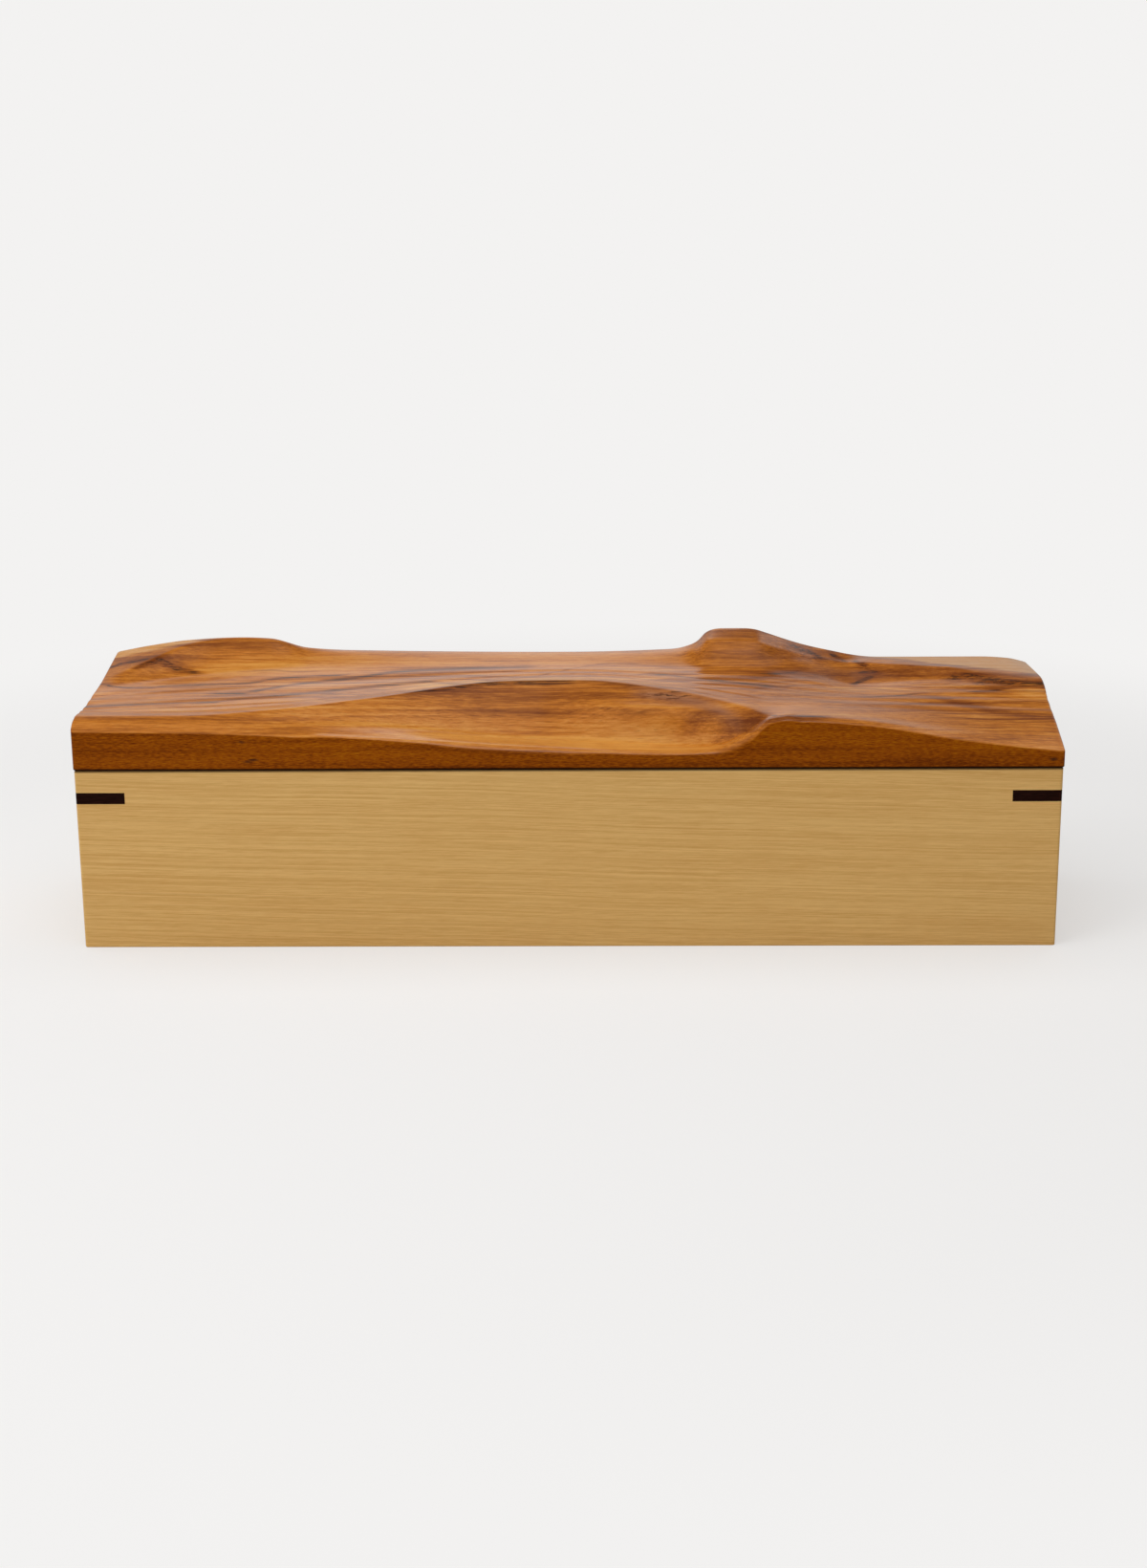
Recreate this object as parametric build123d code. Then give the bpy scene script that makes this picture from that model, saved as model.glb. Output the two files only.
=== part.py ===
from build123d import *
import os

# Wooden keepsake box: four mitred boards, keyed at the corners, with a grooved-in bottom panel and a
# thick lid carved on top. The origin is at the middle of the underside, +Z up, the front faces -Y.

# Driving dimensions, in millimetres
box_length = 280.0
box_depth = 70.0
box_height = 53.0
wall = 9.0
corner_ease = 0.8
board_ease = 0.4

panel_thickness = 4.0
panel_rise = 4.0
groove_depth = 4.0
panel_side_play = 0.4
panel_top_play = 0.2

key_thickness = 3.3
key_drop = 6.5
key_cover = 2.8

lid_thickness = 25.4
lid_overhang = 0.3
lid_corner = 1.2
lid_ease = 0.5
lid_top_ease = 0.6
tongue_depth = 5.0
tongue_play = 0.4
tongue_ease = 0.8

# Carving: how finely the lid's top is sampled and sanded, how far its sheet runs past the lid, its fit,
# and how far the front arris lies below the rim, in hundredths of the lid's thickness
carve_stations = 72
carve_rows = 37
sanding_passes = 2
carve_margin = 3.0
carve_fit = 0.05
bead_drop = 3.5

# Rails of the carved top from front to back. Each knot is (along, across, up): along the lid's length from
# -100 at the left end to 100 at the right, across its depth from 0 at the front to 100 at the back, and up
# from 0 at the underside to 100 at the full thickness. A shelf rail lies between its two neighbours instead:
# across is then the share of the way to the one behind, and up is the rise above the straight line between
# them. An arris list says how crisp its rail is: at 0 the top flows smoothly over it, at 1 it is a sharp
# arris, and beyond 1 the top falls in towards it.
rim = [(-100, 1.5, 48), (-75, 1.8, 46.5), (-45, 3.5, 39.5), (-6, 3.5, 25), (23, 3.5, 19), (29, 3.5, 21),
       (37, 3.5, 41), (41, 3.5, 54), (47, 3.5, 57.5), (61, 3.5, 52), (79, 3.5, 36), (100, 3.5, 22)]
hollow = [(-100, 5, 54), (-75, 6, 53), (-45, 12, 44.5), (-6, 17, 22), (12, 14.5, 20), (23, 12.5, 18.5), (31, 8.5, 22.5),
          (37, 6, 39), (41, 6, 54), (47, 9, 57.2), (79, 11, 38.5), (100, 11, 28)]
lip = [(-100, 50, 0), (-6, 50, 0), (13, 34, 18), (24, 32, 21), (30, 28, 19), (37, 30, 4), (41, 50, 0), (100, 50, 0)]
ridge = [(-100, 10, 57), (-78, 10, 57), (-59, 16, 60), (-42, 28, 63.5), (-12, 45, 73), (4, 46.5, 72.5), (23, 36, 66),
         (36, 18, 59.5), (41, 10, 56), (47, 13, 56.5), (79, 23, 43.5), (100, 23, 37)]
channel = [(-100, 26, 54.5), (-55, 42, 56), (0, 65, 65), (31, 51, 63.5), (61, 45, 54), (100, 45, 51)]
foot = [(-100, 49, 58.5), (-95, 60, 58.5), (-84, 71, 59), (-63, 79, 65), (0, 80, 67), (32, 75, 66),
        (50, 73.5, 62), (61, 68, 50.5), (75, 68.5, 55.5), (94, 56.5, 62.5), (100, 51, 59.5)]
crest = [(-100, 63, 61), (-90, 82.5, 77.5), (-84, 92, 87), (-77, 97, 90.8), (-67, 97, 90.2), (-56, 97, 76.8),
         (0, 96, 72), (23, 95, 75.3), (27, 91, 79.5), (30, 87, 93), (40, 86, 92), (46, 88, 80), (54, 89.5, 66.8),
         (60, 89, 62), (73, 79.5, 64), (84, 70, 66.2), (100, 58, 64)]
top = [(-100, 50, 0), (60, 50, 0), (67, 39, 3.7), (73, 24, 2.9), (79, 19, 1.4), (100, 8, 0.8)]
back = [(-100, 100, 75), (-92, 100, 83.3), (-84, 100, 89.2), (-72, 100, 92.5), (-66, 100, 91), (-58, 100, 79.5),
        (-48, 100, 75.6), (0, 100, 72.5), (22, 100, 75.5), (28, 100, 85), (29.5, 100, 96), (32, 100, 101),
        (36, 100, 102), (40, 100, 100.5), (43, 100, 95.5), (50, 100, 83), (56, 100, 75), (67, 100, 64.5),
        (90, 100, 64.5), (96, 100, 62.5), (100, 100, 57)]
smooth = [(-100, 0.0), (100, 0.0)]
lip_arris = [(-100, 0.0), (0, 0.0), (14, 1.9), (34, 1.9), (41, 0.0), (100, 0.0)]
ridge_arris = [(-100, 0.9), (-60, 1.2), (-15, 1.3), (8, 1.2), (34, 1.1), (44, 0.8), (100, 1.0)]
foot_arris = [(-100, 0.0), (45, 0.0), (60, 1.0), (85, 1.0), (100, 0.3)]
crest_arris = [(-100, 1.0), (-85, 1.4), (-65, 1.4), (-55, 0.8), (20, 0.4), (30, 1.0), (50, 1.8), (66, 1.8), (76, 1.0),
               (100, 0.6)]
top_arris = [(-100, 0.0), (62, 0.0), (68, 1.0), (100, 0.9)]
rails = [(rim, smooth), (hollow, smooth), (lip, lip_arris), (ridge, ridge_arris), (channel, smooth),
         (foot, foot_arris), (crest, crest_arris), (top, top_arris), (back, smooth)]
shelves = [2, 7]

# Worked out from the driving dimensions
inner_length = box_length - 2 * wall
inner_depth = box_depth - 2 * wall
groove_height = panel_thickness + panel_top_play
key_leg = 2 * wall - key_cover * 2 ** 0.5
key_top = box_height - key_drop
lid_length = box_length + 2 * lid_overhang
lid_depth = box_depth + 2 * lid_overhang


def block(length, depth, height, base=0.0):
    """A block centred on the origin in plan, standing at the base height."""
    return Pos(0, 0, base) * Box(length, depth, height, align=(Align.CENTER, Align.CENTER, Align.MIN))


def eased_block(length, depth, height, upright_ease, base=0.0):
    """A block whose upright corners are rounded."""
    solid = block(length, depth, height, base)
    return fillet(solid.edges().filter_by(Axis.Z), upright_ease)


def box_envelope():
    """The outside of the four boards together, with its arrises eased."""
    solid = eased_block(box_length, box_depth, box_height, corner_ease)
    rims = solid.edges().group_by(Axis.Z)[0] + solid.edges().group_by(Axis.Z)[-1]
    return fillet(rims, board_ease)


def key_blank(side, face):
    """The slip across one corner, from the corner's own point: side is -1 or 1 in X, face -1 or 1 in Y."""
    corner = (side * box_length / 2, face * box_depth / 2)
    along_length = (corner[0] - side * key_leg, corner[1])
    along_depth = (corner[0], corner[1] - face * key_leg)
    plan = make_face(Polyline(corner, along_length, along_depth, close=True))
    return Pos(0, 0, key_top - key_thickness) * extrude(plan, key_thickness, dir=(0, 0, 1))


def mitred_board(half_run, half_across, turn):
    """One board in plan: its outer face lies at -half_across and its mitres fall inwards by the wall."""
    plan = make_face(Polyline((-half_run, -half_across), (half_run, -half_across),
                              (half_run - wall, wall - half_across), (wall - half_run, wall - half_across),
                              close=True))
    return Rot(0, 0, turn) * extrude(plan, box_height, dir=(0, 0, 1))


def slopes_through(places, values):
    """Slopes of a curve through the values that stays between them."""
    rises = [(values[i + 1] - values[i]) / (places[i + 1] - places[i]) for i in range(len(values) - 1)]
    slopes = [rises[0]]
    for rise, next_rise in zip(rises, rises[1:]):
        slopes.append(2 * rise * next_rise / (rise + next_rise) if rise * next_rise > 0 else 0.0)
    slopes.append(rises[-1])
    return slopes


def between(start, end, start_value, end_value, start_slope, end_slope, place):
    """The cubic from start to end with the given end values and slopes."""
    run = end - start
    t = (place - start) / run
    return (start_value * (1 + 2 * t) * (1 - t) ** 2 + run * start_slope * t * (1 - t) ** 2
            + end_value * t * t * (3 - 2 * t) + run * end_slope * t * t * (t - 1))


def curve_value(knots, column, place):
    """The curve through one column of the knots, at one place along; level beyond its ends."""
    places = [knot[0] for knot in knots]
    values = [knot[column] for knot in knots]
    slopes = slopes_through(places, values)
    place = min(max(place, places[0]), places[-1])
    i = max(k for k in range(len(places) - 1) if places[k] <= place)
    return between(places[i], places[i + 1], values[i], values[i + 1], slopes[i], slopes[i + 1], place)


def carved_section(along):
    """The carved top's spans at one station, from front to back, each ready for the cubic between two rails."""
    across = [curve_value(knots, 1, along) for knots, _ in rails]
    up = [curve_value(knots, 2, along) for knots, _ in rails]
    for i in shelves:
        share = across[i] / 100
        across[i] = across[i - 1] + (across[i + 1] - across[i - 1]) * share
        up[i] += up[i - 1] + (up[i + 1] - up[i - 1]) * share
    across.insert(0, 0.0)
    up.insert(0, up[0] - bead_drop)
    crisp = [0.0] + [curve_value(arris, 1, along) for _, arris in rails]
    slopes = slopes_through(across, up)
    spans = []
    for i in range(len(across) - 1):
        chord = (up[i + 1] - up[i]) / (across[i + 1] - across[i])
        leaving = slopes[i] + (chord - slopes[i]) * crisp[i]
        arriving = slopes[i + 1] + (chord - slopes[i + 1]) * crisp[i + 1]
        spans.append((across[i], across[i + 1], up[i], up[i + 1], leaving, arriving))
    return spans


def carved_height(spans, across):
    """How far up the carved top stands at one place across a station; level beyond the lid's faces."""
    across = min(max(across, 0.0), 100.0)
    span = [s for s in spans if s[0] <= across][-1]
    return between(*span, across)


def softened(heights):
    """The grid of heights with each one drawn towards its neighbours, as sanding rounds an arris."""
    last_station = len(heights) - 1
    last_row = len(heights[0]) - 1
    drawn = []
    for k, column in enumerate(heights):
        before = heights[max(k - 1, 0)]
        after = heights[min(k + 1, last_station)]
        drawn.append([(4 * column[j] + before[j] + after[j] + column[max(j - 1, 0)]
                       + column[min(j + 1, last_row)]) / 8 for j in range(last_row + 1)])
    return drawn


def carved_sheet():
    """The carved top as one smooth sheet that runs past the lid on all sides."""
    sheet_length = lid_length + 2 * carve_margin
    sheet_depth = lid_depth + 2 * carve_margin
    stations = [(k / (carve_stations - 1) - 0.5) * sheet_length for k in range(carve_stations)]
    rows = [(j / (carve_rows - 1) - 0.5) * sheet_depth for j in range(carve_rows)]
    heights = []
    for x in stations:
        spans = carved_section(min(max(200 * x / lid_length, -100), 100))
        heights.append([carved_height(spans, 100 * (y / lid_depth + 0.5)) for y in rows])
    for _ in range(sanding_passes):
        heights = softened(heights)
    grid = [[Vector(x, y, box_height + up / 100 * lid_thickness) for y, up in zip(rows, column)]
            for x, column in zip(stations, heights)]
    return Face.make_surface_from_array_of_points(grid, tol=carve_fit)


def carved_lid():
    """The slab under the carved sheet, its arrises eased, with a tongue that drops inside the walls."""
    slab = eased_block(lid_length, lid_depth, 2 * lid_thickness, lid_corner, box_height)
    slab = fillet(slab.edges().group_by(Axis.Z)[0], lid_ease)
    slab = slab & extrude(carved_sheet(), 3 * lid_thickness, dir=(0, 0, -1))
    carved_top = slab.faces().filter_by(GeomType.BSPLINE).sort_by(SortBy.AREA)[-1]
    slab = chamfer(carved_top.edges(), lid_top_ease)
    tongue = block(inner_length - 2 * tongue_play, inner_depth - 2 * tongue_play, tongue_depth,
                   box_height - tongue_depth)
    tongue = fillet(tongue.edges().filter_by(Axis.Z) + tongue.edges().group_by(Axis.Z)[0], tongue_ease)
    return slab + tongue


envelope = box_envelope()
groove = block(inner_length + 2 * groove_depth, inner_depth + 2 * groove_depth, groove_height, panel_rise)
corners = {"front_left": (-1, -1), "front_right": (1, -1), "back_left": (-1, 1), "back_right": (1, 1)}
keys = {"key_" + name: key_blank(side, face) for name, (side, face) in corners.items()}

nodes = {}
board_runs = {
    "front_board": (box_length / 2, box_depth / 2, 0),
    "right_end_board": (box_depth / 2, box_length / 2, 90),
    "back_board": (box_length / 2, box_depth / 2, 180),
    "left_end_board": (box_depth / 2, box_length / 2, 270),
}
for name, (half_run, half_across, turn) in board_runs.items():
    board = (mitred_board(half_run, half_across, turn) & envelope) - groove
    for blank in keys.values():
        board = board - blank
    nodes[name] = board
for name, blank in keys.items():
    nodes[name] = blank & envelope
nodes["bottom_panel"] = block(inner_length + 2 * (groove_depth - panel_side_play),
                              inner_depth + 2 * (groove_depth - panel_side_play), panel_thickness, panel_rise)
nodes["carved_lid"] = carved_lid()

os.makedirs("parts", exist_ok=True)
for name, solid in nodes.items():
    export_step(solid, f"parts/{name}.step")
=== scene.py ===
"""Dresses a long wooden keepsake box: boards, corner keys, a carved lid, and a pale studio stage."""

from math import cos, pi, radians, sin

import bpy
import numpy as np
from bpy.props import FloatProperty, FloatVectorProperty, IntProperty, PointerProperty
from bpy.types import Operator, Panel, PropertyGroup
from mathutils import Matrix, Vector


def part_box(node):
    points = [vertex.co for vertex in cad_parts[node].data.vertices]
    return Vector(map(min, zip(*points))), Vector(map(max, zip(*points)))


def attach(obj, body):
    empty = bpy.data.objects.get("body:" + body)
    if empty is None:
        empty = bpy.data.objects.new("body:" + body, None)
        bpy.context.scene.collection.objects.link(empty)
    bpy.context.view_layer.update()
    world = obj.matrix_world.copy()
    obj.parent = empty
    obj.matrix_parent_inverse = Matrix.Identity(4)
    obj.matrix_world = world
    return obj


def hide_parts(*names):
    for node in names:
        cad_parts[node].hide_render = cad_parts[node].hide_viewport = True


bl_info = {
    "name": "Carved-lid keepsake box",
    "version": (1, 0, 0),
    "blender": (4, 5, 0),
    "location": "3D View > Sidebar > Keepsake Box",
    "description": "Models the carved lid, finishes the boards, keys and lid in wood, and sets the stage",
    "category": "Add Mesh",
}

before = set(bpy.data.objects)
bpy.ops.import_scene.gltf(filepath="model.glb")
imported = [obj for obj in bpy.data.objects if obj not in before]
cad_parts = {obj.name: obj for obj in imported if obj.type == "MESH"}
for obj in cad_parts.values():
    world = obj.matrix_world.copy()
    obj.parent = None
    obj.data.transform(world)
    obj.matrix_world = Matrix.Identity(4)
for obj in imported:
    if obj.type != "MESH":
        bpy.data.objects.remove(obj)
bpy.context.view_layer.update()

MM = 0.001
IMAGE_HEIGHT = 1640
SENSOR = 36.0

BOARD_NODES = {"front_board": "X", "back_board": "X", "left_end_board": "Y", "right_end_board": "Y"}
KEY_NODES = ["key_front_left", "key_front_right", "key_back_left", "key_back_right"]

LID_LOW, LID_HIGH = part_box("carved_lid")
LID_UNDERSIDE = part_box("front_board")[1].z
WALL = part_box("front_board")[1].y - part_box("front_board")[0].y
OUTER_HALF = (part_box("front_board")[1].x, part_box("back_board")[1].y)
INNER_HALF = (OUTER_HALF[0] - WALL, OUTER_HALF[1] - WALL)

# The lid's mesh: the step of its grid of heights, the first ring below the carved outline, the rows and rings
# over its eased arrises, the sharpest turn shaded smooth, and how soon the sawn face takes over down an arris
GRID_STEP = 0.5 * MM
FIRST_RING_DROP = 0.3 * MM
ARRIS_ROWS = 6
LOW_ARRIS_RINGS = 4
TONGUE_ARRIS_RINGS = 3
SMOOTH_ANGLE = radians(35)
SIDE_BLEND = 1.33

# The carved top's rails from front to back, as the part's source has them. Each knot is (along, across, up):
# along the length from -100 to 100, across the depth from 0 at the front to 100, and up in hundredths of the
# lid's thickness. A shelf rail lies between its two neighbours instead: across is then the share of the way
# to the one behind, in hundredths, and up is the rise above the straight line between them. An arris list
# says how crisp its rail is: at 0 the top flows smoothly over it, at 1 it is a sharp arris, and beyond 1 the
# top falls in towards it. The top starts at the front face, the bead's drop below the rim.
LID_THICKNESS = 25.4
BEAD_DROP = 3.5
RIM = [(-100, 1.5, 48), (-75, 1.8, 46.5), (-45, 3.5, 39.5), (-6, 3.5, 25), (23, 3.5, 19), (29, 3.5, 21),
       (37, 3.5, 41), (41, 3.5, 54), (47, 3.5, 57.5), (61, 3.5, 52), (79, 3.5, 36), (100, 3.5, 22)]
HOLLOW = [(-100, 5, 54), (-75, 6, 53), (-45, 12, 44.5), (-6, 17, 22), (12, 14.5, 20), (23, 12.5, 18.5),
          (31, 8.5, 22.5), (37, 6, 39), (41, 6, 54), (47, 9, 57.2), (79, 11, 38.5), (100, 11, 28)]
LIP = [(-100, 50, 0), (-6, 50, 0), (13, 34, 18), (24, 32, 21), (30, 28, 19), (37, 30, 4), (41, 50, 0),
       (100, 50, 0)]
RIDGE = [(-100, 10, 57), (-78, 10, 57), (-59, 16, 60), (-42, 28, 63.5), (-12, 45, 73), (4, 46.5, 72.5),
         (23, 36, 66), (36, 18, 59.5), (41, 10, 56), (47, 13, 56.5), (79, 23, 43.5), (100, 23, 37)]
CHANNEL = [(-100, 26, 54.5), (-55, 42, 56), (0, 65, 65), (31, 51, 63.5), (61, 45, 54), (100, 45, 51)]
FOOT = [(-100, 49, 58.5), (-95, 60, 58.5), (-84, 71, 59), (-63, 79, 65), (0, 80, 67), (32, 75, 66),
        (50, 73.5, 62), (61, 68, 50.5), (75, 68.5, 55.5), (94, 56.5, 62.5), (100, 51, 59.5)]
CREST = [(-100, 63, 61), (-90, 82.5, 77.5), (-84, 92, 87), (-77, 97, 90.8), (-67, 97, 90.2), (-56, 97, 76.8),
         (0, 96, 72), (23, 95, 75.3), (27, 91, 79.5), (30, 87, 93), (40, 86, 92), (46, 88, 80),
         (54, 89.5, 66.8), (60, 89, 62), (73, 79.5, 64), (84, 70, 66.2), (100, 58, 64)]
TOP = [(-100, 50, 0), (60, 50, 0), (67, 39, 3.7), (73, 24, 2.9), (79, 19, 1.4), (100, 8, 0.8)]
BACK = [(-100, 100, 75), (-92, 100, 83.3), (-84, 100, 89.2), (-72, 100, 92.5), (-66, 100, 91),
        (-58, 100, 79.5), (-48, 100, 75.6), (0, 100, 72.5), (22, 100, 75.5), (28, 100, 85), (29.5, 100, 96),
        (32, 100, 101), (36, 100, 102), (40, 100, 100.5), (43, 100, 95.5), (50, 100, 83), (56, 100, 75),
        (67, 100, 64.5), (90, 100, 64.5), (96, 100, 62.5), (100, 100, 57)]
SMOOTH = [(-100, 0.0), (100, 0.0)]
LIP_ARRIS = [(-100, 0.0), (0, 0.0), (14, 1.9), (34, 1.9), (41, 0.0), (100, 0.0)]
RIDGE_ARRIS = [(-100, 0.9), (-60, 1.2), (-15, 1.3), (8, 1.2), (34, 1.1), (44, 0.8), (100, 1.0)]
FOOT_ARRIS = [(-100, 0.0), (45, 0.0), (60, 1.0), (85, 1.0), (100, 0.3)]
CREST_ARRIS = [(-100, 1.0), (-85, 1.4), (-65, 1.4), (-55, 0.8), (20, 0.4), (30, 1.0), (50, 1.8), (66, 1.8),
               (76, 1.0), (100, 0.6)]
TOP_ARRIS = [(-100, 0.0), (62, 0.0), (68, 1.0), (100, 0.9)]
RAILS = [(RIM, SMOOTH), (HOLLOW, SMOOTH), (LIP, LIP_ARRIS), (RIDGE, RIDGE_ARRIS), (CHANNEL, SMOOTH),
         (FOOT, FOOT_ARRIS), (CREST, CREST_ARRIS), (TOP, TOP_ARRIS), (BACK, SMOOTH)]
SHELVES = [2, 7]

# How far the carved top is rounded over into the front face: (along, millimetres)
FRONT_EASES = [(-100, 0.4), (-45, 0.5), (-30, 0.8), (-20, 1.8), (0, 1.6), (8, 0.8), (24, 0.7), (29, 1.2),
               (34, 2.2), (37, 1.8), (40, 0.9), (43, 0.5), (100, 0.5)]

# Where along the left's sanding gives way to the right's; how many flutes lie between two rails, how they
# drift along the lid, and the stretch from behind the ridge (4) to the foot (6) that they fill
SANDING_TURN = (-60, 60)
FLUTE_COUNT = 2.5
FLUTE_DRIFT = 0.02
FLUTED_RAILS = (4.1, 6.0)
FLUTE_FADE = 0.4

# Low rolls on the right crest, along the front edge of the bowl and at its right corner: (knots of along and
# across, half width and height in millimetres)
ROLLS = [
    ([(42, 88), (46, 89), (51, 90), (58, 89), (63, 88), (68, 84), (73, 80), (78, 76), (86, 70)], 2.2, 0.55),
    ([(-54, 0), (-40, 0), (0, 0), (20, 0), (34, 0)], 1.5, 0.5),
    ([(37.5, 2), (40, 2), (43, 2), (47, 2)], 2.5, 0.9),
]

# Figure in the lid's wood and painted light and shade, each line (knots of along and across, half width in
# millimetres, strength): dark streaks; broad brown bands, which are painted shade on the bowl's back wall and
# on the roll at its end and darker wood at the lid's right end; and a painted sheen on the roll
DARK_STREAKS = [
    ([(-100, 28), (-95, 30), (-82, 33), (-75, 34), (-68, 40), (-58, 47), (-44, 55), (-36, 59), (-26, 63)],
     1.2, 0.8),
    ([(-78, 48), (-69, 49), (-64, 54), (-59, 60), (-44, 69), (-36, 75), (-5, 80)], 1.2, 0.75),
    ([(-100, 59), (-94, 57), (-89, 58), (-85, 61), (-77, 62), (-69, 63), (-62, 68), (-45, 72)], 0.9, 0.75),
    ([(-92, 83), (-90, 83), (-88, 81), (-85, 79), (-82, 78), (-78, 77)], 0.9, 1.3),
    ([(-95, 72), (-93, 76), (-91, 79), (-88, 82)], 0.9, 1.2),
    ([(-100, 79), (-97, 82), (-95, 82), (-90, 83)], 0.8, 1.2),
    ([(-73, 78), (-65, 78), (-58, 76), (-50, 78)], 0.6, 0.5),
    ([(-30, 52), (-12, 60), (9, 83), (19, 79), (27, 72)], 0.8, 0.4),
    ([(-34, 34.5), (-25, 39), (-17, 43), (-7, 45), (4, 45.5)], 1.0, 1.1),
    ([(-2, 45.5), (5, 45.5), (13, 42), (18, 39.5)], 0.8, 0.6),
    ([(-28, 28), (-22, 29), (-10, 30), (1, 29), (9, 26), (14, 23), (21, 22)], 0.35, 0.5),
    ([(14, 70), (21, 66), (28, 60), (36, 56)], 0.8, 0.7),
    ([(25, 58), (31, 56), (39, 52), (48, 50)], 0.8, 0.8),
    ([(38, 69), (43, 70), (48, 73), (52, 79)], 0.8, 0.8),
    ([(29, 92), (34, 91.5), (38, 91), (44, 90)], 0.5, 0.45),
    ([(46, 97), (49, 95), (52, 94), (55, 90), (57, 86)], 1.4, 1.0),
    ([(56, 97), (58, 95), (59, 93), (61, 88)], 1.2, 1.0),
    ([(61, 92), (63, 88), (65, 83)], 1.2, 1.0),
    ([(61, 80), (63, 80), (65, 80), (68, 77)], 0.8, 0.9),
    ([(59, 68), (61, 69), (62, 71), (64, 74), (67, 78)], 1.2, 1.0),
    ([(57, 40), (63, 41), (70, 46), (76, 49)], 0.7, 0.8),
    ([(78, 67), (84, 66), (88, 62), (92, 57), (96, 54), (100, 53)], 1.5, 1.0),
    ([(84, 61), (89, 57), (94, 54), (97, 53), (100, 52)], 1.0, 1.0),
    ([(81, 49), (87, 50), (91, 51), (95, 52)], 0.7, 0.8),
    ([(38, 12), (41, 9), (46, 5), (55, 4.5)], 0.7, 0.9),
]
BROWN_WOOD_AND_PAINTED_SHADE_BANDS = [
    ([(-38, 31), (-22, 36), (-8, 38), (4, 38), (14, 34), (24, 30)], 4.5, 0.6),
    ([(10, 36), (18, 32), (24, 27), (30, 19), (35, 10)], 3.0, 0.8),
    ([(72, 46), (77, 42), (82, 36), (88, 30), (94, 27), (100, 26)], 2.6, 1.5),
]
PAINTED_SHEEN_BANDS = [([(12, 37), (18, 34), (24, 29), (30, 21), (36, 10)], 3.0, 0.6)]

# The shade beside a streak, how many times the streak's width it has, and how much a brown band darkens, as
# darker wood or as painted shade
STREAK_SHADE = -0.15
STREAK_HALO = 2.2
BROWN_AND_PAINTED_SHADE = -0.16

# How far along a roll, streak or band fades at its ends, and from where on it runs over the lid's end
LINE_FADE = 5.0
LID_END = 99

# Soft patches on the lid, each (along, across, reach along, reach across, amount): where the dark figure
# breaks up into specks; where the wood is lighter or darker, among them painted shade under the left crest
# and on the wall under the bowl's roll, painted light on the left hollow's floor, and painted highlights on
# the left front arris, the ridge's lip and the bowl's rim; and where its growth lines show more or less
SPECKLES = [(22, 33, 8, 5, 1.0), (32, 95, 4, 4, 0.6), (53, 91, 7, 5, 0.9), (63, 82, 4, 8, 0.8),
            (91, 58, 9, 5, 0.9), (-88, 80, 5, 4, 0.7)]
TONE_AND_PAINTED_LIGHT_AREAS = [
    (-74, 95, 15, 6, -0.12), (-66, 79, 22, 7, 0.16), (-90, 82, 9, 10, -0.20), (-78, 2, 30, 3, 0.12),
    (-72, 10, 25, 6, -0.14), (-76, 20, 20, 4, 0.12), (-70, 68, 24, 12, 0.12), (0, 12, 50, 12, 0.31),
    (-30, 62, 45, 16, 0.14), (-76, 38, 22, 14, 0.08), (0, 88, 60, 10, 0.14), (-12, 51, 26, 6, 0.42),
    (27, 16.5, 5, 3, -0.32), (34, 11, 5, 5, -0.38), (38, 9, 3, 4, -0.34), (27, 26, 9, 5, -0.10),
    (37, 4, 4, 5, -0.08), (45, 3, 8, 5, -0.40), (38, 70, 24, 12, -0.06), (38, 92, 14, 10, -0.14),
    (35, 78, 6, 5, 0.08), (36, 87, 6, 2, 0.05), (16, 5, 24, 2.5, 0.20), (70, 35, 36, 18, -0.10),
    (97, 48, 5, 5, 0.30), (94, 33, 7, 3, 0.15), (95, 20, 14, 22, -0.02), (68, 76, 20, 8, -0.12),
]
FIGURE_AREAS = [(0, 14, 45, 8, -0.45), (0, 64, 70, 14, 0.55), (-60, 45, 45, 16, 0.5), (50, 52, 30, 14, 0.4),
                (90, 35, 16, 25, 0.9)]

# Small knots on the lid's front face: (millimetres along, millimetres above the underside, darkness)
FACE_KNOTS = [(-92.0, 8.4, 0.6), (-88.5, 3.2, 0.8), (-90.5, 2.6, 0.6), (137.0, 2.6, 0.8)]
KNOT_HALF_WIDTH = 2.2
KNOT_HALF_HEIGHT = 0.7

# Pale sapwood behind the two crests: (knots of along and across, strength); then its share on that line, the
# distance across in which it would rise by one, and how far along it runs on
SAPWOOD_EDGES = [
    ([(-100, 88), (-96, 89), (-91, 90), (-85, 92), (-78, 98)], 0.9),
    ([(62, 101), (67, 94), (74, 88), (77, 83), (86, 73), (94, 67), (100, 63)], 0.9),
]
SAPWOOD_START = 0.3
SAPWOOD_REACH = 10
SAPWOOD_MARGIN = 0.5

# The growth layers' rise for each millimetre across the lid, and along and across a board, and their wander
# in millimetres; then what sets each board's pattern apart
LID_LAYER_RISE = 0.30
LID_LAYER_DRIFT = 8.0
BOARD_LAYER_RISE = (0.026, 0.06)
BOARD_LAYER_DRIFT = 4.0
BOARD_SEED_STEP = 11.0
PANEL_SEED = 70.0

# Painted shade along the joint under the lid, in millimetres above the boards' top edges and beyond the
# outline
LID_PAINTED_SHADE = (0.35, 0.85)
BOARD_PAINTED_SHADE = (-0.75, -0.3)
OUTLINE_BLEND = (-0.8, -0.3)

# The floor, in millimetres: how far off it turns into the even background, and where from front to back its
# reflection turns from the dim front to the backdrop
FLOOR_BLEND = (230.0, 420.0)
FLOOR_TURN = (-60.0, 60.0)

# Soft lamps, in metres: (place, target, width)
TOP_LAMP = ((-0.30, -0.3, 1.1), (-0.30, -0.3, 0), 1.8)
SIDE_LAMP = ((-0.95, -0.75, 0.8), (0, 0, 0.05), 0.8)

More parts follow.
